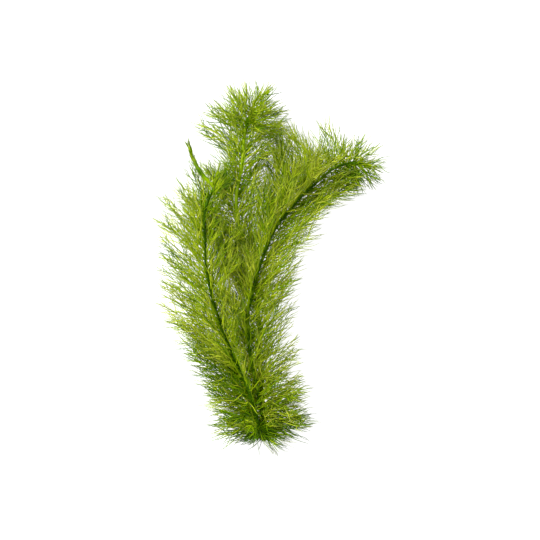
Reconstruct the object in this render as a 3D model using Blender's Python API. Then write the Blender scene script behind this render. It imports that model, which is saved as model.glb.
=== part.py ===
"""Water milfoil: three feathery stems that fork from one short crown, lying on a flat surface.

The surface is z = 0. The crown lies towards -Y and the shoot tips towards +Y, +X is to the right
seen from above. Each stem carries whorls of up to five feather leaves on a thin collar, and ends
in a tip of crowded young leaves.
"""

import math
import random

import bmesh
import bpy
from mathutils import Matrix, Vector
from mathutils.bvhtree import BVHTree

MM = 0.001
GAP = 0.3 * MM                    # left between one piece and the next
FLOOR = 0.02 * MM                 # the lowest leaves lie on the surface at z = 0

# Stems: round, slender, a little thinner towards the tip.
STEM_RADIUS = 0.9 * MM
STEM_TIP_RADIUS = 0.65 * MM
STEM_STEP = 9.5 * MM              # between the points of a stem's centre line

# Collar at each whorl, with one flat face for each leaf.
LEAVES_PER_WHORL = 5
COLLAR_BORE = 1.42 * MM
COLLAR_RADIUS = 1.95 * MM
COLLAR_HEIGHT = 1.5 * MM

# Leaf blade: share of the length, width and thickness at each section after its base.
BLADE_WIDTH = 8.6 * MM
BLADE_SECTIONS = ((0.13, 0.26, 0.9 * MM), (0.46, 1.0, 0.6 * MM), (0.8, 0.72, 0.45 * MM))
FOOT_WIDTH = 2.2 * MM             # where a blade leaves its collar
NARROWEST = 0.6 * MM
LEAF_TRIES = 60                   # ways a leaf is turned before it is left out
SHORTEST_LEAF = 0.55              # share of its length that a leaf keeps in a crowded place
LIFT_ABOVE = 0.68                 # the plumes are a little flattened, as they lie
UNDERSIDE = 0.4 * MM              # height of the ribs of the lowest leaves

# Crown and roots.
CROWN_CENTRE = Vector((-3.2, -88.7, 8.1)) * MM
CROWN_RADII = Vector((2.8, 2.2, 4.2)) * MM
ROOT_WIDTH = 0.8 * MM

LEAF_COLOUR = (0.156, 0.305, 0.012, 1.0)
YOUNG_COLOUR = (0.22, 0.40, 0.02, 1.0)
STEM_COLOUR = (0.035, 0.095, 0.006, 1.0)
CROWN_COLOUR = (0.10, 0.13, 0.03, 1.0)

# Centre line of each stem in millimetres, from the crown to its tip, chosen by hand. The whorls
# stand between `first` and `last`, measured along it. The rows of `habit` go from 0 at the first
# whorl to 1 at the last: leaf length in millimetres, the leaf's angle to the stem at its base and
# at its tip, then how much further out a leaf on the stem's right side leans, in degrees, and how
# much shorter it is, in millimetres. A leaf on the left side is as much steeper and longer.
SHOOTS = {
    "left": dict(
        route=((-4.9, -87.0, 10.9), (-8.2, -75.0, 14.6), (-13.3, -58.5, 18.0), (-21.2, -40.7, 20.0),
               (-28.4, -22.1, 20.6), (-32.9, -4.6, 20.6), (-34.9, 10.8, 20.2), (-35.3, 30.2, 19.0),
               (-34.0, 39.4, 18.4), (-31.3, 44.8, 18.0)),
        whorls=16, first=3.5 * MM, last=131.0 * MM, seed=11, turn=44.0,
        habit=((0.0, 24, 74, 90, 15, 0), (0.1, 31, 52, 61, 12, 1), (0.2, 41, 42, 48, 8, 4),
               (0.3, 41, 36, 43, 5, 3), (0.45, 37, 34, 41, 2, 3), (0.6, 35, 36, 42, 0, 3),
               (0.8, 34, 38, 42, 0, 0), (0.9, 29, 36, 40, 0, 0), (1.0, 23, 42, 44, 0, 0))),
    "right": dict(
        route=((-2.5, -86.1, 8.2), (-5.2, -73.0, 10.6), (-7.6, -58.3, 13.0), (-10.8, -43.7, 14.6),
               (-11.9, -31.3, 15.4), (-12.2, -23.0, 15.8), (-10.5, -13.9, 16.2), (-7.2, -0.3, 16.6),
               (-2.7, 12.4, 16.8), (2.7, 24.8, 16.8), (9.0, 33.1, 16.8), (17.6, 42.7, 16.8),
               (28.0, 52.1, 17.0), (35.6, 58.0, 17.4), (43.2, 60.2, 17.6)),
        whorls=18, first=7.0 * MM, last=161.0 * MM, seed=23, turn=28.0,
        habit=((0.0, 24, 80, 100, 14, -1), (0.1, 28, 56, 66, 6, 1), (0.2, 30, 48, 51, 2, 2),
               (0.35, 32, 42, 44, 2, 3), (0.5, 39, 34, 37, 2, 0), (0.65, 42, 31, 36, 0, 0),
               (0.8, 39, 42, 43, -16, 2), (0.9, 32, 52, 55, -27, 1), (1.0, 22, 56, 60, -31, 0))),
    "top": dict(
        route=((-2.6, -86.6, 5.3), (-3.6, -74.0, 6.2), (-5.2, -58.9, 7.6), (-6.2, -42.7, 8.8),
               (-6.4, -26.5, 9.6), (-6.8, -13.0, 10.0), (-8.2, -1.1, 10.4), (-11.9, 10.3, 11.2),
               (-16.2, 23.2, 12.4), (-18.4, 35.6, 13.4), (-18.0, 45.4, 14.0), (-16.8, 51.5, 14.4),
               (-14.7, 63.9, 15.2), (-14.3, 71.3, 15.6), (-13.2, 80.5, 16.0)),
        whorls=18, first=10.5 * MM, last=162.0 * MM, seed=37, turn=40.0,
        habit=((0.0, 23, 80, 98, 8, 0), (0.1, 28, 56, 64, 4, 1), (0.2, 29, 48, 51, 2, 2),
               (0.35, 31, 42, 44, 0, 3), (0.5, 37, 38, 38, 0, 0), (0.65, 37, 36, 42, -6, 2),
               (0.8, 35, 42, 50, -12, 4), (0.9, 31, 46, 54, -6, 3), (1.0, 25, 54, 66, 4, 0))),
}
WHORL_TURN = 16.0                 # a whorl and the next are turned this far apart, in degrees
CROWDING = 1.22                   # over 1 sets the whorls closer together near the crown

# Shoot tips: rows of young leaves on a short cone that goes on from the stem's end.
TIPS = {
    "left": dict(heading=(0.72, 0.66, -0.10), length=8.0 * MM, rows=((15, 54), (11, 26)), seed=5),
    "right": dict(heading=(0.99, -0.06, -0.05), length=8.0 * MM, rows=((14, 84), (13, 56), (10, 26)),
                  seed=6),
    "top": dict(heading=(0.35, 0.93, 0.05), length=9.0 * MM, rows=((19, 92), (18, 62), (15, 28)),
                seed=7),
}
TIP_SIDES = 6
TIP_RADIUS = 1.1 * MM

# One leaf at the left tip stays closed to a thick strand: its tip seen from the stem's end.
CLOSED_LEAF_TIP = Vector((-43.0, 67.0, 24.0)) * MM
CLOSED_LEAF_WIDTH = 1.3 * MM
CLOSED_LEAF_BOW = 2.2 * MM        # to the left of a straight line

# Roots from the underside and back of the crown: tip in millimetres.
ROOT_TIPS = ((4.9, -100.6, 0.5), (2.2, -99.4, 2.2), (5.8, -96.2, 4.0), (-6.4, -97.0, 0.5))


def smooth_route(points, step):
    """Evenly spaced points on a Catmull-Rom curve through the given ones."""
    pts = [Vector(p) * MM for p in points]
    pts = [2 * pts[0] - pts[1]] + pts + [2 * pts[-1] - pts[-2]]
    fine = []
    for a, b, c, d in zip(pts, pts[1:], pts[2:], pts[3:]):
        for k in range(16):
            t = k / 16
            fine.append(0.5 * (2 * b + (c - a) * t + (2 * a - 5 * b + 4 * c - d) * t * t
                               + (3 * b - a - 3 * c + d) * t ** 3))
    fine.append(pts[-2])
    run = [0.0]
    for a, b in zip(fine, fine[1:]):
        run.append(run[-1] + (b - a).length)
    count = max(2, round(run[-1] / step))
    even, i = [], 0
    for k in range(count + 1):
        target = run[-1] * k / count
        while i < len(run) - 2 and run[i + 1] < target:
            i += 1
        even.append(fine[i].lerp(fine[i + 1], (target - run[i]) / (run[i + 1] - run[i])))
    return even


class Line:
    """A stem's centre line: place and frame at a distance along it."""

    def __init__(self, points):
        self.points = points
        self.run = [0.0]
        for a, b in zip(points, points[1:]):
            self.run.append(self.run[-1] + (b - a).length)
        self.length = self.run[-1]

    def place(self, s):
        i = 0
        while i < len(self.run) - 2 and self.run[i + 1] < s:
            i += 1
        t = (s - self.run[i]) / (self.run[i + 1] - self.run[i])
        return self.points[i].lerp(self.points[i + 1], t), (self.points[i + 1] - self.points[i]).normalized()


def side_frame(axis):
    """Up and side directions square to a stem's axis; up is as near to +Z as it can be."""
    up = (Vector((0, 0, 1)) - axis * axis.z).normalized()
    return up, axis.cross(up)


def between(table, t):
    """The values at t in a table of rows that each start with their own t."""
    for (t0, *low), (t1, *high) in zip(table, table[1:]):
        if t <= t1:
            k = (t - t0) / (t1 - t0)
            return [a + (b - a) * k for a, b in zip(low, high)]
    return list(table[-1][1:])


def leaf_sections(base, axis, azimuth, length, lean, lean_tip, width, roll, lift=LIFT_ABOVE):
    """Centre, width direction, thickness direction, width and thickness of a leaf's sections.

    The leaf leaves the stem at the angle `lean` and bends to `lean_tip`. Above the stem it is
    flattened a little, and below it is flattened as far as the surface makes it.
    """
    up, side = side_frame(axis)
    out = up * math.cos(azimuth) + side * math.sin(azimuth)
    steps = 20
    path, point = [Vector(base)], Vector(base)
    for k in range(steps):
        angle = math.radians(lean + (lean_tip - lean) * (k + 0.5) / steps)
        point = point + (axis * math.cos(angle) + out * math.sin(angle)) * (length / steps)
        path.append(point)
    drop = base.z - min(p.z for p in path)
    room = max(base.z - UNDERSIDE, 0.2 * MM)
    below = min(1.0, room / drop) if drop > 0 else 1.0
    path = [Vector((p.x, p.y, base.z + (p.z - base.z) * (lift if p.z > base.z else below)))
            for p in path]

    sections = []
    shares = list(BLADE_SECTIONS) + [(1.0, 0.0, 0.0)]
    for share, wide, thick in shares:
        k = share * steps
        i = min(int(k), steps - 1)
        centre = path[i].lerp(path[i + 1], k - i)
        along = (path[min(i + 2, steps)] - path[max(i - 1, 0)]).normalized()
        across = along.cross(axis if abs(along.dot(axis)) < 0.95 else up).normalized()
        if across.dot(side * math.cos(azimuth) - up * math.sin(azimuth)) < 0:
            across = -across
        across = Matrix.Rotation(roll * share, 3, along) @ across
        face = across.cross(along).normalized()
        if face.dot(axis) < 0 and abs(face.dot(axis)) > 0.05:
            face = -face
        w, t = max(width * wide, NARROWEST if wide else 0.0), thick
        reach = abs(across.z) * w / 2 + abs(face.z) * t / 2
        centre = Vector((centre.x, centre.y, max(centre.z, reach + FLOOR)))
        sections.append((centre, across, face, w, t))
    return sections


def section_corners(section, grow=0.0):
    centre, across, face, width, thick = section
    w, t = across * (width / 2 + grow), face * (thick / 2 + grow)
    return [centre - w - t, centre + w - t, centre + w + t, centre - w + t]


def loft_tree(sections, grow):
    """Search tree over the loft of the sections, made thicker by `grow` on each side."""
    verts, faces = [], []
    for section in sections:
        verts += section_corners(section, grow)
    for k in range(len(sections) - 1):
        for j in range(4):
            a, b = 4 * k + j, 4 * k + (j + 1) % 4
            faces.append((a, b, b + 4, a + 4))
    return BVHTree.FromPolygons(verts, faces), verts


class Space:
    """What is already placed, to keep every new leaf clear of it."""

    def __init__(self):
        self.items = []

    def add(self, owner, tree, verts):
        low = [min(v[i] for v in verts) for i in range(3)]
        high = [max(v[i] for v in verts) for i in range(3)]
        self.items.append((owner, tree, low, high))

    def add_mesh(self, owner, mesh):
        verts = [v.co.copy() for v in mesh.vertices]
        tree = BVHTree.FromPolygons(verts, [tuple(p.vertices) for p in mesh.polygons])
        self.add(owner, tree, verts)

    def clear(self, tree, verts, skip=()):
        low = [min(v[i] for v in verts) for i in range(3)]
        high = [max(v[i] for v in verts) for i in range(3)]
        for owner, other, lo, hi in self.items:
            if owner in skip or any(low[i] > hi[i] or high[i] < lo[i] for i in range(3)):
                continue
            if tree.overlap(other):
                return False
        return True


def root_section(base, first):
    """The section where a leaf leaves the collar."""
    return (Vector(base), first[1], first[2], FOOT_WIDTH, COLLAR_HEIGHT)


def fit_leaf(space, rng, owner, stem, base, axis, azimuth, length, lean, lean_tip, width):
    """The first way of holding a leaf that keeps it clear of all others, or None."""
    for attempt in range(LEAF_TRIES):
        ease = attempt / LEAF_TRIES
        share = 1.0 - (1.0 - SHORTEST_LEAF) * ease ** 1.3
        sections = leaf_sections(
            base, axis,
            azimuth + math.radians(rng.uniform(-1, 1) * (6 + 26 * ease)),
            length * share * rng.uniform(0.94, 1.05),
            lean + rng.uniform(-1, 1) * (4 + 16 * ease),
            lean_tip + rng.uniform(-1, 1) * (6 + 22 * ease),
            width * (1.0 - 0.35 * ease),
            math.radians(rng.uniform(-1, 1) * (15 + 50 * ease)))
        blade, verts = loft_tree(sections, GAP)
        if not space.clear(blade, verts):
            continue
        root, verts = loft_tree([root_section(base, sections[0]), sections[0]], GAP / 2)
        if space.clear(root, verts, skip=(owner, stem)):
            tree, verts = loft_tree([root_section(base, sections[0])] + sections, 0.0)
            space.add(owner, tree, verts)
            return sections
    return None


def grow(bm, face, sections, axis, side):
    """Draw one face of a mesh out through the sections to a point."""
    middle = face.calc_center_median()
    for section in sections[:-1]:
        signs = [((v.co - middle).dot(side) > 0, (v.co - middle).dot(axis) > 0) for v in face.verts]
        face = bmesh.ops.extrude_discrete_faces(bm, faces=[face])["faces"][0]
        centre, across, flat, width, thick = section
        if across.dot(side) < 0:
            across = -across
        if flat.dot(axis) < 0:
            flat = -flat
        for vert, (right, high) in zip(face.verts, signs):
            vert.co = (centre + across * (width / 2 if right else -width / 2)
                       + flat * (thick / 2 if high else -thick / 2))
        middle, side, axis = centre, across, flat
    point = bmesh.ops.poke(bm, faces=[face])["verts"][0]
    point.co = sections[-1][0]


def finish(bm, name, material, collection):
    bmesh.ops.recalc_face_normals(bm, faces=bm.faces)
    mesh = bpy.data.meshes.new(name)
    bm.to_mesh(mesh)
    bm.free()
    obj = bpy.data.objects.new(name, mesh)
    mesh.materials.append(material)
    collection.objects.link(obj)
    return obj


def collar_mesh(centre, axis, turn):
    """A five-sided ring round the stem, turned from its square profile, and its outer faces."""
    bm = bmesh.new()
    up, side = side_frame(axis)
    arm = up * math.cos(turn) + side * math.sin(turn)
    profile = [bm.verts.new(centre + arm * radius + axis * (COLLAR_HEIGHT / 2 * end))
               for radius, end in ((COLLAR_BORE, -1), (COLLAR_RADIUS, -1), (COLLAR_RADIUS, 1),
                                   (COLLAR_BORE, 1))]
    edges = [bm.edges.new((a, b)) for a, b in zip(profile, profile[1:] + profile[:1])]
    bmesh.ops.spin(bm, geom=profile + edges, cent=centre, axis=axis, angle=math.tau,
                   steps=LEAVES_PER_WHORL, use_merge=True)
    bmesh.ops.recalc_face_normals(bm, faces=bm.faces)
    middle = (COLLAR_BORE + COLLAR_RADIUS) / 2
    outer = [f for f in bm.faces if all((v.co - centre).length > middle for v in f.verts)
             and abs(f.normal.dot(axis)) < 0.5]
    return bm, outer


def make_whorl(space, rng, shoot, index, centre, axis, turn, t, material, collection):
    name = f"whorl_{shoot}_{index:02d}"
    bm, outer = collar_mesh(centre, axis, turn)
    up, side = side_frame(axis)
    length, lean, lean_tip, skew, shorter = between(SHOOTS[shoot]["habit"], t)
    for face in outer:
        middle = face.calc_center_median()
        arm = middle - centre
        azimuth = math.atan2(arm.dot(side), arm.dot(up))
        more = skew * math.sin(azimuth)
        long = (length - shorter * math.sin(azimuth)) * MM
        width = BLADE_WIDTH * min(1.0, 0.55 + long / (70 * MM))
        sections = fit_leaf(space, rng, name, f"stem_{shoot}", middle, axis, azimuth, long,
                            lean + more, lean_tip + more, width)
        if sections is None:
            continue
        across = side * math.cos(azimuth) - up * math.sin(azimuth)
        grow(bm, face, sections, axis, across)
    return finish(bm, name, material, collection)


def make_stem(name, points, material, collection):
    """A round tapered stem along its centre line."""
    curve = bpy.data.curves.new(name, "CURVE")
    curve.dimensions = "3D"
    curve.bevel_depth = STEM_RADIUS
    curve.bevel_resolution = 1
    curve.use_fill_caps = True
    spline = curve.splines.new("POLY")
    spline.points.add(len(points) - 1)
    for k, (knot, point) in enumerate(zip(spline.points, points)):
        knot.co = (*point, 1.0)
        knot.radius = 1.0 + (STEM_TIP_RADIUS / STEM_RADIUS - 1.0) * k / (len(points) - 1)
    obj = bpy.data.objects.new(name, curve)
    curve.materials.append(material)
    collection.objects.link(obj)
    return obj


def evaluated_mesh(obj):
    bpy.context.view_layer.update()
    return bpy.data.meshes.new_from_object(obj.evaluated_get(bpy.context.evaluated_depsgraph_get()))


def make_shoot_tip(space, shoot, start, material, collection):
    """A short cone that goes on from the stem, with rows of young leaves."""
    spec = TIPS[shoot]
    rng = random.Random(spec["seed"])
    axis = Vector(spec["heading"]).normalized()
    up, side = side_frame(axis)
    name = f"shoot_tip_{shoot}"
    bm = bmesh.new()
    place = Matrix((side, axis.cross(side), axis)).transposed().to_4x4()
    base = start + axis * GAP * 1.5
    place.translation = base + axis * spec["length"] / 2
    bmesh.ops.create_cone(bm, cap_ends=True, segments=TIP_SIDES, radius1=TIP_RADIUS,
                          radius2=TIP_RADIUS * 0.35, depth=spec["length"], matrix=place)
    rim = [e for e in bm.edges if abs((e.verts[0].co - e.verts[1].co).normalized().dot(axis)) > 0.9]
    bmesh.ops.subdivide_edges(bm, edges=rim, cuts=len(spec["rows"]) - 1)
    rows = [[] for _ in spec["rows"]]
    for face in bm.faces:
        height = (face.calc_center_median() - base).dot(axis) / spec["length"]
        if 0.05 < height < 0.95:
            rows[int(height * len(rows))].append(face)
    jobs = [(face, *habit) for faces, habit in zip(rows, spec["rows"]) for face in faces]
    closed = None
    if shoot == "left":
        toward = (CLOSED_LEAF_TIP - base).normalized()
        closed = max(rows[0], key=lambda f: (f.calc_center_median() - base).dot(toward))
    for face, length, lean in jobs:
        middle = face.calc_center_median()
        arm = middle - base
        arm -= axis * arm.dot(axis)
        azimuth = math.atan2(arm.dot(side), arm.dot(up))
        across = side * math.cos(azimuth) - up * math.sin(azimuth)
        if face == closed:
            sections = closed_leaf(middle, axis)
            space.add(name, *loft_tree(sections, 0.0))
        else:
            sections = fit_leaf(space, rng, name, f"stem_{shoot}", middle, axis, azimuth,
                                length * MM, lean, lean * 0.7, BLADE_WIDTH * 0.72)
        if sections is None:
            continue
        grow(bm, face, sections, axis, across)
    return finish(bm, name, material, collection)


def closed_leaf(base, axis):
    """Sections of the leaf whose feathers stay closed along its rib."""
    along = (CLOSED_LEAF_TIP - base).normalized()
    across = along.cross(axis).normalized()
    left = Vector((-along.y, along.x, 0.0))
    sections = []
    for share, wide, _ in list(BLADE_SECTIONS) + [(1.0, 0.0, 0.0)]:
        bow = left * math.sin(math.pi * share) * CLOSED_LEAF_BOW
        width = CLOSED_LEAF_WIDTH * (0.8 + 0.3 * wide) if wide else 0.0
        sections.append((base.lerp(CLOSED_LEAF_TIP, share) + bow, across, across.cross(along),
                         width, width * 0.8))
    return sections


def make_crown(material, collection):
    """The short rootstock that the three stems fork from, with a few thread roots."""
    bm = bmesh.new()
    place = Matrix.Translation(CROWN_CENTRE) @ Matrix.Diagonal((*CROWN_RADII, 1.0))
    bmesh.ops.create_uvsphere(bm, u_segments=9, v_segments=7, radius=1.0,
                              matrix=place @ Matrix.Rotation(math.pi / 2, 4, "X"))
    own = [f for f in bm.faces if len(f.verts) == 4]
    for tip in ROOT_TIPS:
        tip = Vector(tip) * MM
        toward = (tip - CROWN_CENTRE).normalized()
        face = max(own, key=lambda f: (f.calc_center_median() - CROWN_CENTRE).normalized().dot(toward))
        own.remove(face)
        base = face.calc_center_median()
        edge = (face.verts[1].co - face.verts[0].co).normalized()
        normal = face.normal.copy() if face.normal.length else toward
        axis = normal.cross(edge).normalized()
        sections = []
        for share, wide in ((0.2, 1.0), (0.5, 0.8), (0.8, 0.55), (1.0, 0.0)):
            sag = Vector((0, 0, -1.4 * MM)) * math.sin(math.pi * share)
            centre = base.lerp(tip, share) + sag
            centre.z = max(centre.z, ROOT_WIDTH * 0.7)
            width = ROOT_WIDTH * wide
            sections.append((centre, edge, axis, width, width))
        grow(bm, face, sections, axis, edge)
    return finish(bm, "crown", material, collection)


def material(name, colour, roughness):
    made = bpy.data.materials.new(name)
    made.use_nodes = True
    shader = made.node_tree.nodes["Principled BSDF"]
    shader.inputs["Base Color"].default_value = colour
    shader.inputs["Roughness"].default_value = roughness
    made.diffuse_color = colour
    return made


def centre_on_origin(collection):
    """Move every piece so that the middle of the plant's box lies over the origin, on z = 0."""
    meshes = {obj: evaluated_mesh(obj) for obj in collection.objects}
    corners = [v.co for mesh in meshes.values() for v in mesh.vertices]
    low = [min(c[i] for c in corners) for i in range(3)]
    high = [max(c[i] for c in corners) for i in range(3)]
    shift = Vector(((low[0] + high[0]) / 2, (low[1] + high[1]) / 2, low[2]))
    for obj, mesh in meshes.items():
        obj.location -= shift
        bpy.data.meshes.remove(mesh)


def main():
    for obj in list(bpy.data.objects):
        bpy.data.objects.remove(obj, do_unlink=True)
    collection = bpy.data.collections.new("water_milfoil")
    bpy.context.scene.collection.children.link(collection)
    leaf = material("leaf", LEAF_COLOUR, 0.55)
    young = material("young_leaf", YOUNG_COLOUR, 0.5)
    stem = material("stem", STEM_COLOUR, 0.5)
    rootstock = material("crown", CROWN_COLOUR, 0.7)

    space = Space()
    crown = make_crown(rootstock, collection)
    space.add_mesh("crown", crown.data)

    lines, whorls = {}, []
    for shoot, spec in SHOOTS.items():
        points = smooth_route(spec["route"], STEM_STEP)
        lines[shoot] = Line(points)
        name = f"stem_{shoot}"
        obj = make_stem(name, points, stem, collection)
        mesh = evaluated_mesh(obj)
        space.add_mesh(name, mesh)
        bpy.data.meshes.remove(mesh)
        for index in range(spec["whorls"]):
            t = (index / (spec["whorls"] - 1)) ** CROWDING
            s = spec["first"] + (spec["last"] - spec["first"]) * t
            centre, axis = lines[shoot].place(s)
            turn = math.radians(spec["turn"] - (WHORL_TURN if index % 2 else 0.0))
            whorls.append((shoot, index + 1, centre, axis, turn, t))
            bm, _ = collar_mesh(centre, axis, turn)
            probe = bpy.data.meshes.new("collar_probe")
            bm.to_mesh(probe)
            bm.free()
            space.add_mesh(f"whorl_{shoot}_{index + 1:02d}", probe)
            bpy.data.meshes.remove(probe)

    for shoot in SHOOTS:
        make_shoot_tip(space, shoot, lines[shoot].points[-1], young, collection)
    rngs = {shoot: random.Random(spec["seed"]) for shoot, spec in SHOOTS.items()}
    for shoot, index, centre, axis, turn, t in sorted(whorls, key=lambda w: -w[2].y):
        make_whorl(space, rngs[shoot], shoot, index, centre, axis, turn, t, leaf, collection)
    centre_on_origin(collection)


main()
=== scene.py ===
"""Looks of the water milfoil: every leaf solid of the frame becomes three feathers of fine threads.

The solids are read from the frame, section by section, so each feather grows along its own leaf
solid. Stems, shoot tips, crown and roots follow their solids in the same way.
"""

import bpy
import numpy as np
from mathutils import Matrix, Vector


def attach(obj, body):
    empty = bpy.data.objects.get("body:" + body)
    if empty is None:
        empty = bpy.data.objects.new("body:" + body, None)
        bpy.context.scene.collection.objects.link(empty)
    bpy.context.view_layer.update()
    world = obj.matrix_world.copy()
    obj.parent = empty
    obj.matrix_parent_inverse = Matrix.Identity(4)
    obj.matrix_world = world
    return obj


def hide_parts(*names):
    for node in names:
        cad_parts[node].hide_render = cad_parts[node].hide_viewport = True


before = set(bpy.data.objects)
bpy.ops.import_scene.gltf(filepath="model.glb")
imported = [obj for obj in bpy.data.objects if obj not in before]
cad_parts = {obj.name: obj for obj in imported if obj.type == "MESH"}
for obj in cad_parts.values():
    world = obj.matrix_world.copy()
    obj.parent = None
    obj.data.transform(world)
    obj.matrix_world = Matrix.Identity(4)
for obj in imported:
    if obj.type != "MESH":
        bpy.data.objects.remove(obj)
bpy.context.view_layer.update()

MM = 0.001
SEED = 7

# Sections of the solids, and points along a smooth curve.
LEAF_CORNERS = 4                  # of a leaf solid's section
LEAF_SECTIONS = 3                 # between a leaf solid's base and its point
LEAF_POINT = 0.9 * MM             # at least, from the last section to the point
CLOSED_WIDTH = 1.6 * MM           # a leaf solid narrower than this is a closed leaf
STEM_CORNERS = 6
CURVE_STEPS = 12                  # between two given points
UPRIGHT = 0.9                     # height of a tube's direction from which it counts as upright

# Ribs: each leaf solid stands for a few leaves that leave the stem close together.
RIBS_PER_SOLID = 3
RIB_STAGGER = 2.8 * MM            # between their feet, along the stem
RIB_STAGGER_LOST = 0.45           # share of the stagger that is gone at their ends
RIB_SPREAD = 0.36                 # of the solid's width, to either side of its middle line
RIB_SPREAD_VARIES = 0.15
POINT_WIDTH = 0.8                 # of the last section's, taken as the width at the solid's point
RIB_FAN = 0.06                    # how far they part towards their ends, as a share of the length
RIB_FOOT = 0.25                   # where they start, from 0 in the stem's middle to 1 at the solid
RIB_SHARE = (0.78, 0.97)          # of the solid's length; threads fan out beyond it
RIB_POINTS = 14
RIB_FINE_POINTS = 40
RIB_SIDES = 4
RIB_RADIUS = 0.30 * MM
RIB_END = 0.09 * MM
RIB_DARKER = 0.1                  # than its threads
RIB_FOOT_PAINTED_SHADE = (0.25, 0.12)    # painted shade where ribs meet the stem: how much darker at their feet, fading over this share of them

# Threads of a feather. Lengths follow a stretch of a half wave from the rib's foot to its end.
THREADS_PER_MM = 0.66             # on both sides of a rib together
FEWEST_THREADS = 8
FIRST_THREAD = 0.06               # its place on the rib
THREAD_POINTS = 7
THREAD_RADIUS = 0.23 * MM
THREAD_END = 0.06 * MM
THREAD_RADIUS_VARIES = (0.8, 1.2)
LONGEST_THREAD = 17.5 * MM
SHORTEST_SHARE = 0.3              # of the longest
LENGTH_WAVE = (0.04, 0.84)
LENGTH_VARIES = (0.6, 1.15)
OVERSHOOT = 7.0 * MM              # how far threads run past the end of their rib
OVERSHOOT_VARIES = (0.4, 1.0)
BENT_LONGER = 1.1                 # than the way to there, at the most, as a thread is bent
THICKNESS = 45.0                  # spread above and below the leaf's face, in degrees
WAVE = 0.02                       # of a thread's length
WAVES = (0.8, 1.6)                # along a thread
STRAY = 0.045                     # of its end, as a share of its length

# How threads bend, in degrees: how much further out they start than they run, the mean and the
# spread of their angle after that, and how far their ends turn outward again.
FEATHER_BEND = ((18.0, 38.0), (13.0, 7.0), (-8.0, 20.0))
STRAND_BEND = ((2.0, 8.0), (3.0, 2.0), (-2.0, 14.0))
FOOT_BEND = ((15.0, 45.0), (4.0, 8.0), (-25.0, 0.0))
WISP_BEND = ((-30.0, 30.0), (0.0, 10.0), (-40.0, 40.0))

# The closed leaf: a strand with its radius in mm by the place along it, and threads at its end.
STRAND = ((0.0, 0.6), (0.2, 0.95), (0.6, 1.1), (0.85, 0.8), (1.0, 0.25))
STRAND_SIDES = 10
STRAND_DARKER = 0.1
STRAND_BANDS = (0.15, 9.0)        # how strong, and how many radians of a wave
STRAND_THREADS = 110
STRAND_THREADS_FROM = 0.15        # place of the first; most are near the end
STRAND_THREAD_START = 0.6         # of the strand's radius
STRAND_THREAD_LENGTH = (0.14, 0.34)           # of the strand's
STRAND_THREAD_TONE = (0.05, 0.2)

# Threads straight from a stem, from each whorl up to the next. In an airy stretch of the top stem
# they are longer and lean further out. "left" is the share on the stem's left.
WHORL_RINGS = 11                  # rings of a stem from a whorl to the next
SKIRT = {"count": 28, "lengths": (5 * MM, 13 * MM), "further": 0.0, "left": 0.5}
AIRY_SKIRT = {"count": 48, "lengths": (13 * MM, 28 * MM), "further": 20.0, "left": 0.65}
AIRY = (0.6, 0.88)
SKIRT_LEAN = ((0.0, 100.0), (0.04, 75.0), (0.12, 42.0), (0.3, 32.0))     # by place, in degrees
SKIRT_LEAN_SPREAD = 8.0
SKIRT_LEAVE = (10.0, 25.0)
SKIRT_SPLAY = (-10.0, 10.0)
SKIRT_LIFT = (-70.0, 15.0)        # above the stem's sides, in degrees
SKIRT_START = 0.6 * MM            # from the stem's middle
SKIRT_DARKER = 0.1

# Threads that the lowest whorls spread round the crown, by their direction seen from above in
# degrees and their length there in mm.
FOOT_REACH = ((-215, 14), (-180, 21), (-160, 17), (-130, 6), (-110, 4), (-65, 4), (-48, 9),
              (-28, 22), (0, 19), (35, 14))
FOOT_REACH_VARIES = (0.6, 1.1)
FOOT_THREADS = 190
FOOT_RINGS = 7                    # rings of the stem that they leave from
FOOT_START = 0.9 * MM             # above the stem's middle
FOOT_SLOPE = -0.2                 # height for each unit of length seen from above
FOOT_LIFT = (20.0, 160.0)         # which way they bend, from one side over the top to the other
# Painted shade of the dense foot: its threads are this much darker.
FOOT_PAINTED_SHADE = 0.3

# Pale root hairs under the foot.
WISPS = 26
WISP_LENGTH = (3 * MM, 6 * MM)
WISP_TURN = (-165.0, -70.0)       # direction seen from above, in degrees
WISP_SLOPE = -0.3
WISP_FROM = ((-10, 1), (-1, 1), (-3, 1))      # round the crown's middle, in mm
WISP_TONE = (0.7, 1.0)
WISP_GIRTH = 0.5                  # of a leaf thread's

# Tones: 0 is the darkest and 1 the palest. Rows of PLACE_TONE are added by the place along a stem.
TONE = 0.70
TONE_SPREAD = 0.26                # from thread to thread
LEAF_TONE_SPREAD = 0.09           # from leaf to leaf
PATCH_TONE = 0.1                  # over the plant
PLACE_TONE = {
    "left": ((0.0, -0.24), (0.1, -0.18), (0.22, -0.04), (0.35, 0.02), (0.7, 0.04), (1.0, -0.04)),
    "right": ((0.0, 0.12), (0.12, 0.12), (0.3, 0.06), (0.5, 0.08), (1.0, 0.02)),
    "top": ((0.0, 0.08), (0.2, 0.06), (0.6, 0.0), (0.85, 0.0), (1.0, 0.0)),
}
BEND_RINGS = 4                    # rings of a stem that its bend is measured over
INNER_SHADE = ((0.0, 0.2), (0.72, 0.2), (0.88, 0.8), (1.0, 0.8))   # painted shade inside a stem's bend, by place
INNER_PAINTED_SHADE = (1.3, 0.4)         # painted shade by how far a leaf points into the bend, and at the most
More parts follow.
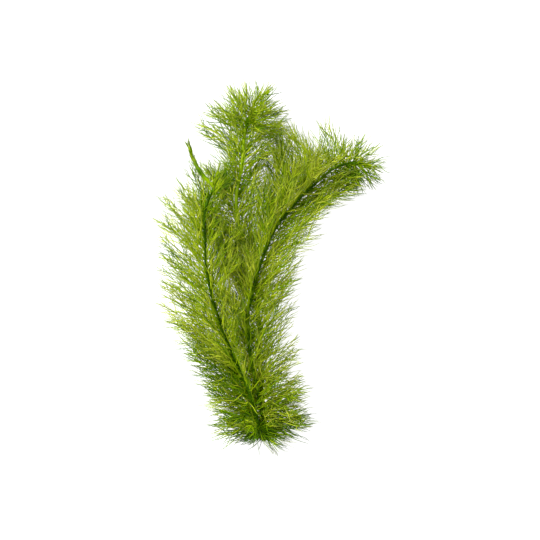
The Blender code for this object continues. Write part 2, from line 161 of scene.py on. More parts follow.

# Leaves part over the stems, which show from foot to tip, and stand more openly in some places:
# rows of the place along the stem, how full the left side is there, and how full the right side.
RIB_PARTING = 1.3 * MM            # from a stem's middle to the ribs that pass above it
RIB_PARTING_RUN = 0.3             # share of a rib over which it gets there
EITHER_SIDE = 0.3 * MM            # ribs this near the middle may go to either side
THREAD_PARTING = 1.0 * MM
PARTED = 0.97                     # share of the threads that keep clear of the stems
TOP_STEM_SHOWS = 36 * MM          # the top stem is hidden below this far up the plant
FULLNESS = {
    "left": ((0.0, 1.6, 1.6), (0.15, 1.4, 1.3), (0.3, 1.1, 1.0), (0.45, 0.85, 0.9), (0.65, 0.8, 0.9),
             (0.85, 0.85, 1.1), (1.0, 0.95, 1.2)),
    "right": ((0.0, 1.5, 1.5), (0.08, 1.2, 0.6), (0.25, 1.0, 0.5), (0.4, 0.9, 0.9), (0.6, 1.3, 0.9),
              (0.75, 1.8, 0.9), (0.88, 1.8, 1.2), (1.0, 0.9, 0.9)),
    "top": ((0.0, 1.3, 1.3), (0.08, 0.8, 0.7), (0.25, 0.7, 0.5), (0.5, 0.9, 0.8), (0.75, 1.3, 0.5),
            (0.88, 1.1, 0.7), (1.0, 1.15, 1.25)),
}

# Stems.
STEM_SIDES = 12
STEM_RING_STEP = 0.8 * MM
STEM_TONE = {"left": 0.3, "right": 0.6, "top": 1.05}
STEM_GIRTH = {"left": 1.0, "right": 1.0, "top": 1.3}       # of the solid's radius
STEM_END = (0.9, 0.7, 0.4)        # of the radius, in the last three rings
STEM_PATCHES = (0.2, 3.0)         # how strong, and how much smaller than on the leaves
NODE_SWELLING = 0.22              # how much thicker a stem is where a whorl leaves it
NODE_LENGTH = 0.9 * MM
NODE_PALER = 0.35

# The growing point inside a shoot tip: its radius in mm by the place along it.
CORE = ((0.0, 0.6), (0.3, 0.75), (0.8, 0.4), (1.0, 0.05))
CORE_POINTS = 16
CORE_SIDES = 8
CORE_TONE = 0.25
CORE_OVERLAP = 0.1                # share of it that is inside the stem's end

# Crown: a radius in mm, a stray in mm and a tone for each root that leaves with a root solid.
ROOTS = ((0.22, 0.0, 0.75), (0.14, 1.0, 0.9))
ROOT_END = 0.1                    # mm
ROOT_POINTS = 16
ROOT_SIDES = 5
ROOT_HEIGHT = 0.3 * MM            # of a root's middle over the surface, at least
STOCK_POINTS = 18
STOCK_SIDES = 14
STOCK_WIDTH = 0.85                # of the solid's
STOCK_SWAY = (0.35 * MM, 0.3 * MM)
STOCK_KNOBS = 0.1                 # of its radius
STOCK_TONE = (0.12, 0.12)         # mean, and how far it goes up and down

# Colours, as rows of a place from 0 to 1 and a colour there: by tone, and from base to end.
LEAF_TONES = ((0.0, (0.034, 0.105, 0.0)), (0.3, (0.108, 0.24, 0.0)), (0.55, (0.275, 0.43, 0.002)),
              (0.8, (0.49, 0.60, 0.012)), (1.0, (0.62, 0.68, 0.05)))
YOUNG_TONES = ((0.0, (0.032, 0.105, 0.0)), (0.3, (0.106, 0.245, 0.0)), (0.55, (0.28, 0.44, 0.002)),
               (0.8, (0.48, 0.60, 0.012)), (1.0, (0.61, 0.69, 0.05)))
LEAF_ENDS = ((0.0, (0.8, 0.85, 0.8)), (0.3, (1.0, 1.0, 1.0)), (0.6, (0.85, 0.9, 1.0)),
             (1.0, (0.5, 0.56, 1.0)))
STEM_TONES = ((0.0, (0.012, 0.045, 0.0)), (0.6, (0.04, 0.105, 0.0)), (1.0, (0.20, 0.32, 0.006)))
STEM_ENDS = ((0.0, (1.1, 1.0, 0.9)), (0.15, (1.0, 1.0, 1.0)), (1.0, (1.3, 1.25, 1.0)))
ROOT_TONES = ((0.0, (0.015, 0.035, 0.0)), (0.5, (0.09, 0.13, 0.02)), (1.0, (0.42, 0.42, 0.34)))
ROOT_ENDS = ((0.0, (0.8, 0.8, 0.7)), (1.0, (1.1, 1.1, 1.1)))
END_GREY = (0.11, 0.13, 0.06)
LEAF_GREY = 0.5                   # how far the ends of leaf threads turn to that grey
GREY_FROM = 0.45                  # place along a thread
GRAIN_STRENGTH = 0.5
GRAIN_HEIGHT = 0.15 * MM

# Floor and light.
FLOOR_SIZE = 6.0
FLOOR_GREY = 0.35
FLOOR_GLOW = 0.92
SKY_LIGHT = 0.75
KEY_POWER = 14.0
KEY_SIZE = 0.35
KEY_PLACE = (-0.55, 0.45, 0.65)
KEY_AIM = (0.0, 0.0, 15 * MM)

# Camera: the photograph's frame is 540 pixels wide, at 0.54 mm to the pixel over the stems.
FRAME_PX = 540
MM_PER_PX = 0.54
STEM_HEIGHT = 16 * MM
CAMERA_DISTANCE = 0.68
CAMERA_AIM = (1.5 * MM, 1.4 * MM)
SENSOR_MM = 36.0
CLIP = (0.01, 20.0)


# Reading the solids

def place_key(point):
    """A position to the micrometre, the same for corners that coincide."""
    return tuple(round(c * 1e6) for c in point)


def welded(node):
    """Corner points of a node and, for each, the set of points it shares an edge with."""
    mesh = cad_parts[node].data
    points, index, joined = [], {}, []
    for vert in mesh.vertices:
        key = place_key(vert.co)
        if key not in index:
            index[key] = len(points)
            points.append(np.array(vert.co))
            joined.append(set())
    order = [index[place_key(vert.co)] for vert in mesh.vertices]
    for edge in mesh.edges:
        a, b = (order[v] for v in edge.vertices)
        if a != b:
            joined[a].add(b)
            joined[b].add(a)
    return np.array(points), joined


def layers_from(start, joined, count):
    """The start points and the next `count` rings of neighbours round them."""
    seen, ring, found = set(start), set(start), [set(start)]
    for _ in range(count):
        ring = set().union(*(joined[i] for i in ring)) - seen
        seen |= ring
        found.append(ring)
    return found


def leaves_of(node):
    """The leaf solids of a node, and the points of the body that they grow from.

    A leaf is its middle line from base to point, and the width direction and the width at each
    section between them. A root is read as a leaf too.
    """
    points, joined = welded(node)
    found, taken = [], set()
    for point in range(len(points)):
        if len(joined[point]) != LEAF_CORNERS:
            continue
        rings = layers_from([point], joined, LEAF_SECTIONS + 1)
        if any(len(ring) != LEAF_CORNERS for ring in rings[1:]):
            continue
        line = [points[sorted(ring)].mean(0) for ring in rings]
        if np.linalg.norm(line[1] - line[0]) < LEAF_POINT:
            continue
        across, widths = [], []
        for ring in rings[1:-1]:
            corners = points[sorted(ring)]
            spread = corners - corners.mean(0)
            across.append(np.linalg.svd(spread)[2][0])
            widths.append(2 * np.abs(spread @ across[-1]).max())
        taken |= set().union(*rings[:-1])
        found.append((np.array(line[::-1]), np.array(across[::-1]), widths[::-1]))
    body = points[[i for i in range(len(points)) if i not in taken]]
    return found, body


def centre_line(node):
    """Middle points and radii of a stem's solid, from the crown up."""
    points, joined = welded(node)
    ring = set(np.argsort(points[:, 1])[:STEM_CORNERS].tolist())
    line, radii, seen = [], [], set()
    while ring:
        corners = points[sorted(ring)]
        line.append(corners.mean(0))
        radii.append(np.linalg.norm(corners - corners.mean(0), axis=1).mean())
        seen |= ring
        ring = set().union(*(joined[i] for i in ring)) - seen
    return np.array(line), np.array(radii)


# Curves and tubes

def smooth(points, count):
    """Points evenly along a Catmull-Rom curve through the given rows."""
    pts = np.asarray(points, float)
    pts = np.vstack([2 * pts[0] - pts[1], pts, 2 * pts[-1] - pts[-2]])
    t = np.linspace(0, 1, CURVE_STEPS, endpoint=False)[:, None]
    fine = []
    for a, b, c, d in zip(pts, pts[1:], pts[2:], pts[3:]):
        fine.append(0.5 * (2 * b + (c - a) * t + (2 * a - 5 * b + 4 * c - d) * t ** 2
                           + (3 * b - a - 3 * c + d) * t ** 3))
    fine = np.vstack(fine + [pts[-2][None]])
    run = np.concatenate([[0], np.cumsum(np.linalg.norm(np.diff(fine[:, :3], axis=0), axis=1))])
    even = np.linspace(0, run[-1], count)
    return np.stack([np.interp(even, run, fine[:, k]) for k in range(fine.shape[1])], 1)


def unit(rows):
    return rows / np.maximum(np.linalg.norm(rows, axis=-1, keepdims=True), 1e-12)


def run_length(points):
    return np.linalg.norm(np.diff(points, axis=0), axis=1).sum()


def flat_directions(turn, slope):
    """Directions that point at the angles `turn` seen from above, and the level ones across them."""
    along = np.stack([np.cos(turn), np.sin(turn), np.full_like(turn, slope)], 1)
    return along, np.stack([-along[:, 1], along[:, 0], np.zeros_like(turn)], 1)


def patches(points):
    """A slow change over the plant, from -1 to 1: three waves, some 45 to 120 mm long."""
    x, y, z = np.asarray(points).reshape(-1, 3).T / MM
    waves = (np.sin(x / 7 + 1.3 * np.sin(y / 11)) + np.sin(y / 9 - x / 13 + 2)
             + np.sin((x + y) / 19 + z / 8 + 1))
    return waves / 3


class Threads:
    """Collects closed tubes for one mesh, with a tone and a place along each for its colour."""

    def __init__(self):
        self.verts, self.faces, self.uvs, self.count = [], [], [], 0

    def add(self, paths, radii, tones, sides=3):
        """paths: tubes x points x 3; radii: tubes x points; tones: tubes x 1 or tubes x points."""
        tubes, n, _ = paths.shape
        along = unit(np.gradient(paths, axis=1))
        upright = np.abs(along[..., 2:3]) >= UPRIGHT
        guide = np.where(upright, [[[1.0, 0.0, 0.0]]], [[[0.0, 0.0, 1.0]]])
        u = unit(np.cross(along, guide))
        v = np.cross(along, u)
        turn = 2 * np.pi * np.arange(sides) / sides
        ring = (u[:, :, None] * np.cos(turn)[:, None] + v[:, :, None] * np.sin(turn)[:, None])
        body = paths[:, :-1, None] + ring[:, :-1] * radii[:, :-1, None, None]
        per = (n - 1) * sides + 1
        verts = np.concatenate([body.reshape(tubes, -1, 3), paths[:, -1:]], 1)
        tones = np.broadcast_to(np.asarray(tones, float).reshape(tubes, -1), (tubes, n))
        uv = np.empty((tubes, per, 2))
        uv[:, :-1, 0] = np.repeat(tones[:, :-1], sides, axis=1)
        uv[:, -1, 0] = tones[:, -1]
        uv[:, :-1, 1] = np.repeat(np.linspace(0, 1, n)[:-1], sides)
        uv[:, -1, 1] = 1.0
        k = np.arange(sides)
        j = (k + 1) % sides
        faces = []
        for i in range(n - 2):
            a, b = i * sides + k, i * sides + j
            faces += np.stack([a, b, b + sides, a + sides], 1).tolist()
        tip = (n - 2) * sides
        faces += [[tip + x, tip + y, per - 1] for x, y in zip(k, j)]
        faces.append(k[::-1].tolist())
        for t in range(tubes):
            base = self.count + t * per
            self.faces += [[base + i for i in face] for face in faces]
        self.count += tubes * per
        self.verts.append(verts.reshape(-1, 3))
        self.uvs.append(uv.reshape(-1, 2))

    def build(self, name, material, node):
        """Make the mesh, in place of a node of the frame."""
        mesh = bpy.data.meshes.new(name)
        mesh.from_pydata(np.concatenate(self.verts).tolist(), [], self.faces)
        uvs = np.clip(np.concatenate(self.uvs), 0.0, 1.0)
        corner = np.empty(len(mesh.loops), np.int32)
        mesh.loops.foreach_get("vertex_index", corner)
        layer = mesh.uv_layers.new(name="OFBake")
        layer.data.foreach_set("uv", uvs[corner].astype(np.float32).ravel())
        mesh.shade_smooth()
        mesh.materials.append(material)
        piece = bpy.data.objects.new(name, mesh)
        bpy.context.scene.collection.objects.link(piece)
        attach(piece, "root")
        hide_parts(node)


# Feathers

def beside(points, stem):
    """How far points are to the right of a stem, seen from above, how far over it, and its run."""
    gap = points[:, None, :2] - stem[None, :, :2]
    near = (gap ** 2).sum(-1).argmin(1)
    gap = gap[np.arange(len(points)), near]
    run = unit(np.gradient(stem[:, :2], axis=0))[near]
    return run[:, 1] * gap[:, 0] - run[:, 0] * gap[:, 1], points[:, 2] - stem[near, 2], run


def hides_stem(paths, shown):
    """Which of the paths pass above a stem that shows in the photograph."""
    offset, above, _ = beside(paths.reshape(-1, 3), shown)
    over = (np.abs(offset) < THREAD_PARTING) & (above > 0)
    return over.reshape(len(paths), -1).any(1)


def part_rib(rib, rng, stem):
    """Lead a rib that passes above its own stem down one side of it."""
    offset, above, run = beside(rib, stem)
    hand = np.sign(offset[-1] + rng.normal(0, EITHER_SIDE))
    share = np.clip(np.linspace(0, 1, len(rib)) / RIB_PARTING_RUN, 0, 1)
    wanted = RIB_PARTING * share * share * (3 - 2 * share)
    push = np.where(above > 0, np.maximum(wanted - hand * offset, 0), 0) * hand
    rib[:, 0] += run[:, 1] * push
    rib[:, 1] -= run[:, 0] * push
    return rib


def ribs_of(leaf, rng, stem, closed):
    """Middle lines and width directions of the leaves that one leaf solid stands for."""
    line, across, widths = leaf
    near = np.linalg.norm(stem - line[0], axis=1).argmin()
    length = run_length(line)
    steps = np.linalg.norm(np.diff(line, axis=0), axis=1)
    share = (np.concatenate([[0], np.cumsum(steps)]) / length)[:, None]
    side = np.vstack([across[:1], across, across[-1:]])
    flat = np.cross(unit(np.gradient(line, axis=0)), side)
    wide = np.array([0.0, *widths, widths[-1] * POINT_WIDTH])[:, None]
    places = np.linspace(-1, 1, 1 if closed else RIBS_PER_SOLID)
    found = []
    for up, sideways in zip(places, rng.permutation(places)):
        reach = rng.uniform(*RIB_SHARE)
        if closed:
            up, sideways, reach = 0.0, 0.0, 1.0
        k = min(max(near + round(up * RIB_STAGGER / STEM_RING_STEP), 0), len(stem) - 1)
        path = line + (stem[k] - stem[near]) * (1 - RIB_STAGGER_LOST * share)
        if not closed:
            fan = rng.normal(0, RIB_FAN, 2) * length
            sideways += rng.normal(0, RIB_SPREAD_VARIES)
            path = path + side * (wide * RIB_SPREAD * sideways + fan[0] * share ** 2)
            path = path + flat * fan[1] * share ** 2
        foot = stem[k] + (path[0] - stem[k]) * RIB_FOOT
        both = np.hstack([np.vstack([foot, path]), np.vstack([side[:1], side])])
        fine = smooth(both, RIB_FINE_POINTS)
        even = np.linspace(0, reach * (RIB_FINE_POINTS - 1), RIB_POINTS)
        rib = np.stack([np.interp(even, np.arange(RIB_FINE_POINTS), column) for column in fine.T], 1)
        rib[:, :3] = part_rib(rib[:, :3], rng, stem)
        rib[:, 2] = np.maximum(rib[:, 2], RIB_RADIUS)
        found.append((rib[:, :3], rib[:, 3:]))
    return found


def bend_angles(rng, habit, count):
    """An angle of each kind for every thread."""
    leave, run, splay = habit
    return rng.uniform(*leave, count), rng.normal(*run, count), rng.uniform(*splay, count)


def add_threads(threads, rng, start, along, out, angles, reach, tones, shown=None, girth=1.0):
    """Fine threads from their starts, that bend from `along` towards `out` by their angles.

    Where `shown` is given, most threads that would pass above those stems are left out.
    """
    count = len(start)
    leave, run, splay = angles
    t = np.linspace(0, 1, THREAD_POINTS)
    bend = np.radians(leave[:, None] * (1 - t) ** 1.4 + run[:, None] + splay[:, None] * t ** 2)
    step = np.cos(bend)[..., None] * along[:, None] + np.sin(bend)[..., None] * out[:, None]
    paths = np.concatenate([np.zeros((count, 1, 3)), np.cumsum(step[:, :-1], axis=1)], 1)
    paths *= (reach / (THREAD_POINTS - 1))[:, None, None]
    stray = rng.normal(0, STRAY, (count, 1, 3)) * (t ** 2)[:, None]
    phase = 2 * np.pi * (rng.uniform(*WAVES, (count, 1)) * t + rng.random((count, 1)))
    wave = rng.normal(0, WAVE, (count, 1, 3)) * (np.sin(phase) * np.minimum(3 * t, 1))[..., None]
    paths += (stray + wave) * reach[:, None, None] + start[:, None]
    paths[..., 2] = np.maximum(paths[..., 2], THREAD_RADIUS)

    kept = rng.random(count) > PARTED
    kept |= shown is None or ~hides_stem(paths, shown)
    radius = THREAD_RADIUS + (THREAD_END - THREAD_RADIUS) * t ** 2
    radius = radius * girth * rng.uniform(*THREAD_RADIUS_VARIES, (count, 1))
    if kept.any():
        threads.add(paths[kept], radius[kept], tones[kept])


def feather(threads, rng, rib, side, tone, shown, dense):
    """A rib with fine threads on both sides that leave it wide and then run along with it."""
    length = run_length(rib)
    share = np.linspace(0, 1, len(rib))
    radii = RIB_END + (RIB_RADIUS - RIB_END) * (1 - share) ** 0.8
    deep, over = RIB_FOOT_PAINTED_SHADE
    # The rib is darker than its threads, with painted shade added at its foot by the stem.
    shade = tone - RIB_DARKER - deep * np.exp(-share / over)
    threads.add(rib[None], radii[None], shade[None], sides=RIB_SIDES)

    along = unit(np.gradient(rib, axis=0))
    side = unit(side - along * (side * along).sum(1, keepdims=True))
    flat = np.cross(along, side)

    count = max(FEWEST_THREADS, round(length / MM * THREADS_PER_MM * dense))
    s = FIRST_THREAD + (1 - FIRST_THREAD) * (np.arange(count) + rng.random(count)) / count
    hand = np.where(np.arange(count) % 2, 1.0, -1.0)[:, None]
    i = np.minimum((s * (len(rib) - 1)).astype(int), len(rib) - 2)
    start = rib[i] + (rib[i + 1] - rib[i]) * (s * (len(rib) - 1) - i)[:, None]
    arch = np.sin(np.pi * np.interp(s, (0, 1), LENGTH_WAVE)) ** 0.8
    reach = LONGEST_THREAD * (SHORTEST_SHARE + (1 - SHORTEST_SHARE) * arch)
    reach *= rng.uniform(*LENGTH_VARIES, count) * dense ** 0.25
    past = OVERSHOOT * dense * rng.uniform(*OVERSHOOT_VARIES, count)
    reach = np.minimum(reach, (length * (1 - s) + past) * BENT_LONGER)
    lift = np.radians(rng.normal(0, THICKNESS, count))[:, None]
    out = side[i] * hand * np.cos(lift) + flat[i] * np.sin(lift)
    angles = bend_angles(rng, FEATHER_BEND, count)
    tones = tone + rng.normal(0, TONE_SPREAD, count)
    add_threads(threads, rng, start, along[i], out, angles, reach, tones, shown)


def strand(threads, rng, rib, side, tone, shown):
    """A closed leaf: its threads lie together in a thick strand and open out near its end."""
    share = np.linspace(0, 1, len(rib))
    radii = np.interp(share, *zip(*STRAND)) * MM
    strong, waves = STRAND_BANDS
    tones = tone + strong * np.sin(share * waves)
    threads.add(rib[None], radii[None], tones[None], sides=STRAND_SIDES)

    count = STRAND_THREADS
    s = 1.0 - (1.0 - STRAND_THREADS_FROM) * rng.random(count) ** 1.5
    i = np.minimum((s * (len(rib) - 1)).astype(int), len(rib) - 2)
    along = unit(np.gradient(rib, axis=0))[i]
    turn = rng.uniform(0, 2 * np.pi, (count, 1))
    out = side[i] * np.cos(turn) + np.cross(along, side[i]) * np.sin(turn)
    start = rib[i] + out * radii[i, None] * STRAND_THREAD_START
    angles = bend_angles(rng, STRAND_BEND, count)
    reach = run_length(rib) * rng.uniform(*STRAND_THREAD_LENGTH, count)
    tones = tone + rng.normal(*STRAND_THREAD_TONE, count)
    add_threads(threads, rng, start, along, out, angles, reach, tones, shown)


def skirt(threads, rng, stem, near, habit, tone, shown):
    """Short threads straight from the stem, to either side and below, from ring `near` up."""
    count = habit["count"]
    k = rng.integers(near, min(near + WHORL_RINGS, len(stem)), count)
    along = unit(np.gradient(stem, axis=0))[k]
    side = unit(np.cross(along, (0.0, 0.0, 1.0)))
    up = np.cross(side, along)
    hand = np.where(rng.random((count, 1)) < habit["left"], -1.0, 1.0)
    lift = np.radians(rng.uniform(*SKIRT_LIFT, (count, 1)))
    out = side * hand * np.cos(lift) + up * np.sin(lift)
    start = stem[k] + out * SKIRT_START
    lean = np.interp(k / len(stem), *zip(*SKIRT_LEAN)) + habit["further"]
    lean = lean + rng.normal(0, SKIRT_LEAN_SPREAD, count)
    angles = (rng.uniform(*SKIRT_LEAVE, count), lean, rng.uniform(*SKIRT_SPLAY, count))
    tones = tone + rng.normal(-SKIRT_DARKER, TONE_SPREAD, count)
    reach = rng.uniform(*habit["lengths"], count)
    add_threads(threads, rng, start, along, out, angles, reach, tones, shown)


def foot(threads, rng, stem, tone):
    """Threads that spread flat from the stem's foot, to both sides and over the crown."""
    count = FOOT_THREADS
    places, lengths = zip(*FOOT_REACH)
    turn = rng.uniform(places[0], places[-1], count)
    along, across = flat_directions(np.radians(turn), FOOT_SLOPE)
    lift = np.radians(rng.uniform(*FOOT_LIFT, (count, 1)))
    out = across * np.cos(lift) + np.array([0.0, 0.0, 1.0]) * np.sin(lift)
    start = stem[rng.integers(0, FOOT_RINGS, count)] + (0, 0, FOOT_START)
    angles = bend_angles(rng, FOOT_BEND, count)
    reach = np.interp(turn, places, lengths) * MM * rng.uniform(*FOOT_REACH_VARIES, count)
    tones = tone + rng.normal(0, TONE_SPREAD, count)
    add_threads(threads, rng, start, unit(along), out, angles, reach, tones)


# Materials

def principled(name, roughness, specular):
    made = bpy.data.materials.new(name)
    made.use_nodes = True
    shader = made.node_tree.nodes["Principled BSDF"]
    shader.inputs["Roughness"].default_value = roughness
    shader.inputs["Specular IOR Level"].default_value = specular
    return made, made.node_tree, shader


def ramp(tree, fac, stops):
    node = tree.nodes.new("ShaderNodeValToRGB")
    elements = node.color_ramp.elements
    while len(elements) < len(stops):
        elements.new(0.5)
    for element, (at, colour) in zip(elements, stops):
        element.position = at
        element.color = (*colour, 1.0)
    tree.links.new(fac, node.inputs["Fac"])
    return node.outputs["Color"]


def add_grain(tree, shader, scale):
    """Fine bumps, `scale` to the metre."""
    place = tree.nodes.new("ShaderNodeTexCoord")
    noise = tree.nodes.new("ShaderNodeTexNoise")
    noise.inputs["Scale"].default_value = scale
    bump = tree.nodes.new("ShaderNodeBump")
    bump.inputs["Strength"].default_value = GRAIN_STRENGTH
    bump.inputs["Distance"].default_value = GRAIN_HEIGHT
    tree.links.new(place.outputs["Object"], noise.inputs["Vector"])
    tree.links.new(noise.outputs["Fac"], bump.inputs["Height"])
    tree.links.new(bump.outputs["Normal"], shader.inputs["Normal"])


def thread_material(name, tones, ends, roughness=0.6, specular=0.03, grain=None, grey=0.0):
    """Colour by the thread's tone, its own colour with painted shade in it, times one by its place
    from base to end, greyer at the end.
    """
    made, tree, shader = principled(name, roughness, specular)
    uv = tree.nodes.new("ShaderNodeUVMap")
    uv.uv_map = "OFBake"
    split = tree.nodes.new("ShaderNodeSeparateXYZ")
    tree.links.new(uv.outputs["UV"], split.inputs["Vector"])
    mix = tree.nodes.new("ShaderNodeMix")
    mix.data_type = "RGBA"
    mix.blend_type = "MULTIPLY"
    mix.inputs["Factor"].default_value = 1.0
    tree.links.new(ramp(tree, split.outputs["X"], tones), mix.inputs["A"])
    tree.links.new(ramp(tree, split.outputs["Y"], ends), mix.inputs["B"])
    fade = tree.nodes.new("ShaderNodeMix")
    fade.data_type = "RGBA"
    stops = ((0.0, (0.0, 0.0, 0.0)), (GREY_FROM, (0.0, 0.0, 0.0)), (1.0, (grey, grey, grey)))
    tree.links.new(ramp(tree, split.outputs["Y"], stops), fade.inputs["Factor"])
    tree.links.new(mix.outputs["Result"], fade.inputs["A"])
    fade.inputs["B"].default_value = (*END_GREY, 1.0)
    tree.links.new(fade.outputs["Result"], shader.inputs["Base Color"])
    if grain:
        add_grain(tree, shader, grain)
    return made


def make_materials():
    return {
        "leaf": thread_material("leaf_threads", LEAF_TONES, LEAF_ENDS, grey=LEAF_GREY),
        "young_leaf": thread_material("young_threads", YOUNG_TONES, LEAF_ENDS, grey=LEAF_GREY),
        "stem": thread_material("stem_skin", STEM_TONES, STEM_ENDS, roughness=0.5, specular=0.04,
                                grain=900.0),
        "crown": thread_material("root_skin", ROOT_TONES, ROOT_ENDS, grain=700.0),
    }


# Pieces

def make_stem(node, collars, pale, girth, material):
    """A round stem, a little swollen and paler where the whorls leave it."""
    line, radii = centre_line(node)
    route = np.column_stack([line, radii])
    path = smooth(route, round(run_length(line) / STEM_RING_STEP))
    points, radius = path[:, :3], path[:, 3] * girth
    swell = np.zeros(len(points))
    for collar in collars:
        gap = np.linalg.norm(points - collar, axis=1)
        swell = np.maximum(swell, np.exp(-(gap / NODE_LENGTH) ** 2))
    radius *= 1.0 + NODE_SWELLING * swell
    radius[-len(STEM_END):] *= STEM_END
    strong, smaller = STEM_PATCHES
    tone = pale + strong * patches(points * smaller) + NODE_PALER * swell
    threads = Threads()
    threads.add(points[None], radius[None], tone[None], sides=STEM_SIDES)
    threads.build(node + "_skin", material, node)
    return points


def make_stems(nodes, material):
    """The stems' points from the crown up, by the name of the shoot."""
    stems = {}
    for node in nodes:
        if node.startswith("stem_"):
            shoot = node.removeprefix("stem_")
            whorls = [n for n in nodes if n.startswith("whorl_" + shoot)]
            collars = [leaves_of(whorl)[1].mean(0) for whorl in whorls]
            stems[shoot] = make_stem(node, collars, STEM_TONE[shoot], STEM_GIRTH[shoot], material)
    return stems


def add_core(threads, body, stem_end):
    """The growing point inside a shoot tip: a slim spindle along its solid."""
    middle = body.mean(0)
    axis = np.linalg.svd(body - middle)[2][0]
    reach = (body - middle) @ axis
    ends = [middle + axis * reach.min(), middle + axis * reach.max()]
    ends.sort(key=lambda p: np.linalg.norm(p - stem_end))
    first = stem_end + (stem_end - ends[1]) * CORE_OVERLAP
    path = smooth(np.array([first, ends[0], ends[1]]), CORE_POINTS)
    radii = np.interp(np.linspace(0, 1, CORE_POINTS), *zip(*CORE)) * MM
    threads.add(path[None], radii[None], [CORE_TONE], sides=CORE_SIDES)


def fullness(shoot, place, right):
    """How full the leaves stand at a place along a stem, on its left or its right."""
    places, left_side, right_side = zip(*FULLNESS[shoot])
    return np.interp(place, places, right_side if right else left_side)


def bend_of(stem, near):
    """A stem's direction at its ring `near`, and which way it has bent since a little before."""
    last = len(stem) - 1
    tangent = unit(stem[min(near + BEND_RINGS, last)] - stem[max(near - BEND_RINGS, 0)])
    before = unit(stem[max(near - 2 * BEND_RINGS, BEND_RINGS)] - stem[max(near - 4 * BEND_RINGS, 0)])
    return tangent, tangent - before


def make_leafy(node, rng, stems, shown, materials):
    """The threads of a whorl or a shoot tip."""
    leaves, body = leaves_of(node)
    young = node.startswith("shoot_tip")
    shoot = node.split("_")[2 if young else 1]
    stem = stems[shoot]
    near = np.linalg.norm(stem - body.mean(0), axis=1).argmin()
    place = near / len(stem)
    tangent, inner = bend_of(stem, near)
    shade = np.interp(place, *zip(*INNER_SHADE))
    steep, most = INNER_PAINTED_SHADE
    usual = TONE + np.interp(place, *zip(*PLACE_TONE[shoot]))
    threads = Threads()
    if young:
        add_core(threads, body, stem[-1])
    for leaf in leaves:
        line, _, widths = leaf
        towards = unit(line[-1] - line[0])
        closed = widths[1] < CLOSED_WIDTH
        right = tangent[1] * towards[0] > tangent[0] * towards[1]
        dense = fullness(shoot, place, right)
        for number, (rib, side) in enumerate(ribs_of(leaf, rng, stem, closed)):
            if number and hides_stem(rib[None, len(rib) // 4:], shown)[0]:
                continue
            middle = rib[len(rib) // 2]
            tone = usual + rng.normal(0, LEAF_TONE_SPREAD) + PATCH_TONE * patches(middle)[0]
            # Painted shade: leaves that point into the bend of their stem are darkened.
            tone -= shade * min(most, max(0.0, steep * (towards @ inner)))
            if closed:
                strand(threads, rng, rib, side, tone - STRAND_DARKER, shown)
            else:
                feather(threads, rng, rib, side, tone, shown, dense)
    if not young:
        airy = shoot == "top" and AIRY[0] < place < AIRY[1]
        skirt(threads, rng, stem, near, AIRY_SKIRT if airy else SKIRT, usual, shown)
    if node.endswith("_01"):
        # Painted shade: the foot's threads are darker.
        foot(threads, rng, stem, usual - FOOT_PAINTED_SHADE)
    slot = "young_leaf" if young else "leaf"
    threads.build(node + "_threads", materials[slot], node)


def add_rootstock(threads, body):
    """The crown's short knobbly stock, as tall as its solid."""
    low, high = body.min(0), body.max(0)
    t = np.linspace(0, 1, STOCK_POINTS)
    path = (low + high) / 2 + np.outer(t - 0.5, (0, 0, high[2] - low[2]))
    path[:, 0] += STOCK_SWAY[0] * np.sin(t * 9)
    path[:, 1] += STOCK_SWAY[1] * np.cos(t * 7)
    half = (high - low)[:2].mean() / 2
    round_ends = np.sqrt(np.clip(1 - (2 * t - 1) ** 2, 0.02, 1))
    radii = STOCK_WIDTH * half * round_ends * (1 + STOCK_KNOBS * np.sin(t * 25))
    mean, varies = STOCK_TONE
    threads.add(path[None], radii[None], [mean + varies * np.sin(t * 17)], sides=STOCK_SIDES)


def add_roots(threads, rng, line, centre):
    """A root along its solid and a finer one beside it."""
    for wide, stray, tone in ROOTS:
        path = smooth(np.vstack([centre, line]), ROOT_POINTS)
        t = np.linspace(0, 1, ROOT_POINTS)[:, None]
        path = path + rng.normal(0, 1, 3) * stray * MM * t ** 1.5
        path[:, 2] = np.maximum(path[:, 2], ROOT_HEIGHT)
        radii = (wide + (ROOT_END - wide) * t[:, 0]) * MM
        threads.add(path[None], radii[None], [tone], sides=ROOT_SIDES)


def add_wisps(threads, rng, centre):
    """Pale root hairs that hang in a short fringe under the foot."""
    turn = np.radians(rng.uniform(*WISP_TURN, WISPS))
    along, out = flat_directions(turn, WISP_SLOPE)
    start = centre + np.stack([rng.uniform(*side, WISPS) for side in WISP_FROM], 1) * MM
    angles = bend_angles(rng, WISP_BEND, WISPS)
    reach = rng.uniform(*WISP_LENGTH, WISPS)
    tones = rng.uniform(*WISP_TONE, WISPS)
    add_threads(threads, rng, start, unit(along), out, angles, reach, tones, girth=WISP_GIRTH)


def make_crown(rng, materials):
    roots, body = leaves_of("crown")
    centre = body.mean(0)
    threads = Threads()
    add_rootstock(threads, body)
    for line, _, _ in roots:
        add_roots(threads, rng, line, centre)
    add_wisps(threads, rng, centre)
    threads.build("crown_roots", materials["crown"], "crown")


# Floor, light and camera

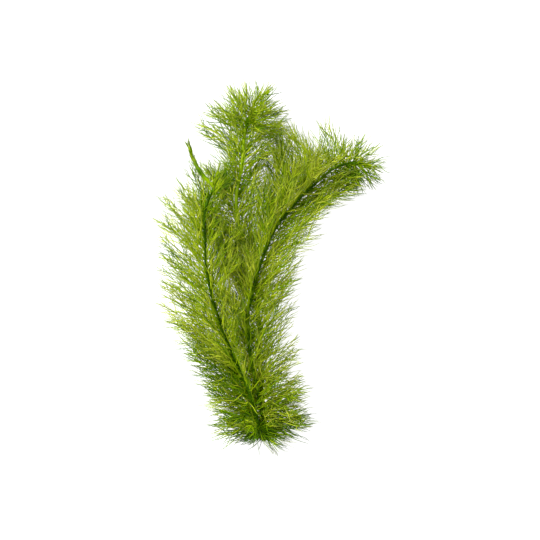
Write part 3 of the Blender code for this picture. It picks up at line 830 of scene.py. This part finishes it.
def make_floor():
    bpy.ops.mesh.primitive_plane_add(size=FLOOR_SIZE, location=(0, 0, 0))
    floor = bpy.context.object
    floor.name = "floor"
    made, _, shader = principled("pale_floor", roughness=0.9, specular=0.0)
    shader.inputs["Base Color"].default_value = (FLOOR_GREY, FLOOR_GREY, FLOOR_GREY, 1)
    shader.inputs["Emission Color"].default_value = (1, 1, 1, 1)
    shader.inputs["Emission Strength"].default_value = FLOOR_GLOW
    floor.data.materials.append(made)


def make_lights():
    world = bpy.data.worlds.new("studio")
    bpy.context.scene.world = world
    world.use_nodes = True
    back = world.node_tree.nodes["Background"]
    back.inputs["Color"].default_value = (1.0, 1.0, 1.0, 1)
    back.inputs["Strength"].default_value = SKY_LIGHT

    key = bpy.data.lights.new("key", "AREA")
    key.energy = KEY_POWER
    key.size = KEY_SIZE
    lamp = bpy.data.objects.new("key", key)
    lamp.location = KEY_PLACE
    lamp.rotation_euler = (Vector(KEY_AIM) - lamp.location).to_track_quat("-Z", "Y").to_euler()
    bpy.context.scene.collection.objects.link(lamp)


def make_camera():
    """Straight above the plant; its lens sets the photograph's scale at the height of the stems."""
    data = bpy.data.cameras.new("camera")
    data.sensor_width = SENSOR_MM
    data.lens = SENSOR_MM * (CAMERA_DISTANCE - STEM_HEIGHT) / (FRAME_PX * MM_PER_PX * MM)
    data.clip_start, data.clip_end = CLIP
    camera = bpy.data.objects.new("camera", data)
    camera.location = (*CAMERA_AIM, CAMERA_DISTANCE)
    camera.rotation_euler = (0, 0, 0)
    bpy.context.scene.collection.objects.link(camera)
    bpy.context.scene.camera = camera
    bpy.context.scene.view_settings.view_transform = "Standard"


def main():
    rng = np.random.default_rng(SEED)
    materials = make_materials()
    nodes = sorted(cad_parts)
    stems = make_stems(nodes, materials["stem"])
    top = stems["top"]
    shown = np.vstack([stems["left"], stems["right"], top[top[:, 1] > TOP_STEM_SHOWS]])
    for node in nodes:
        if node.startswith(("whorl_", "shoot_tip_")):
            make_leafy(node, rng, stems, shown, materials)
    make_crown(rng, materials)
    make_floor()
    make_lights()
    make_camera()


main()
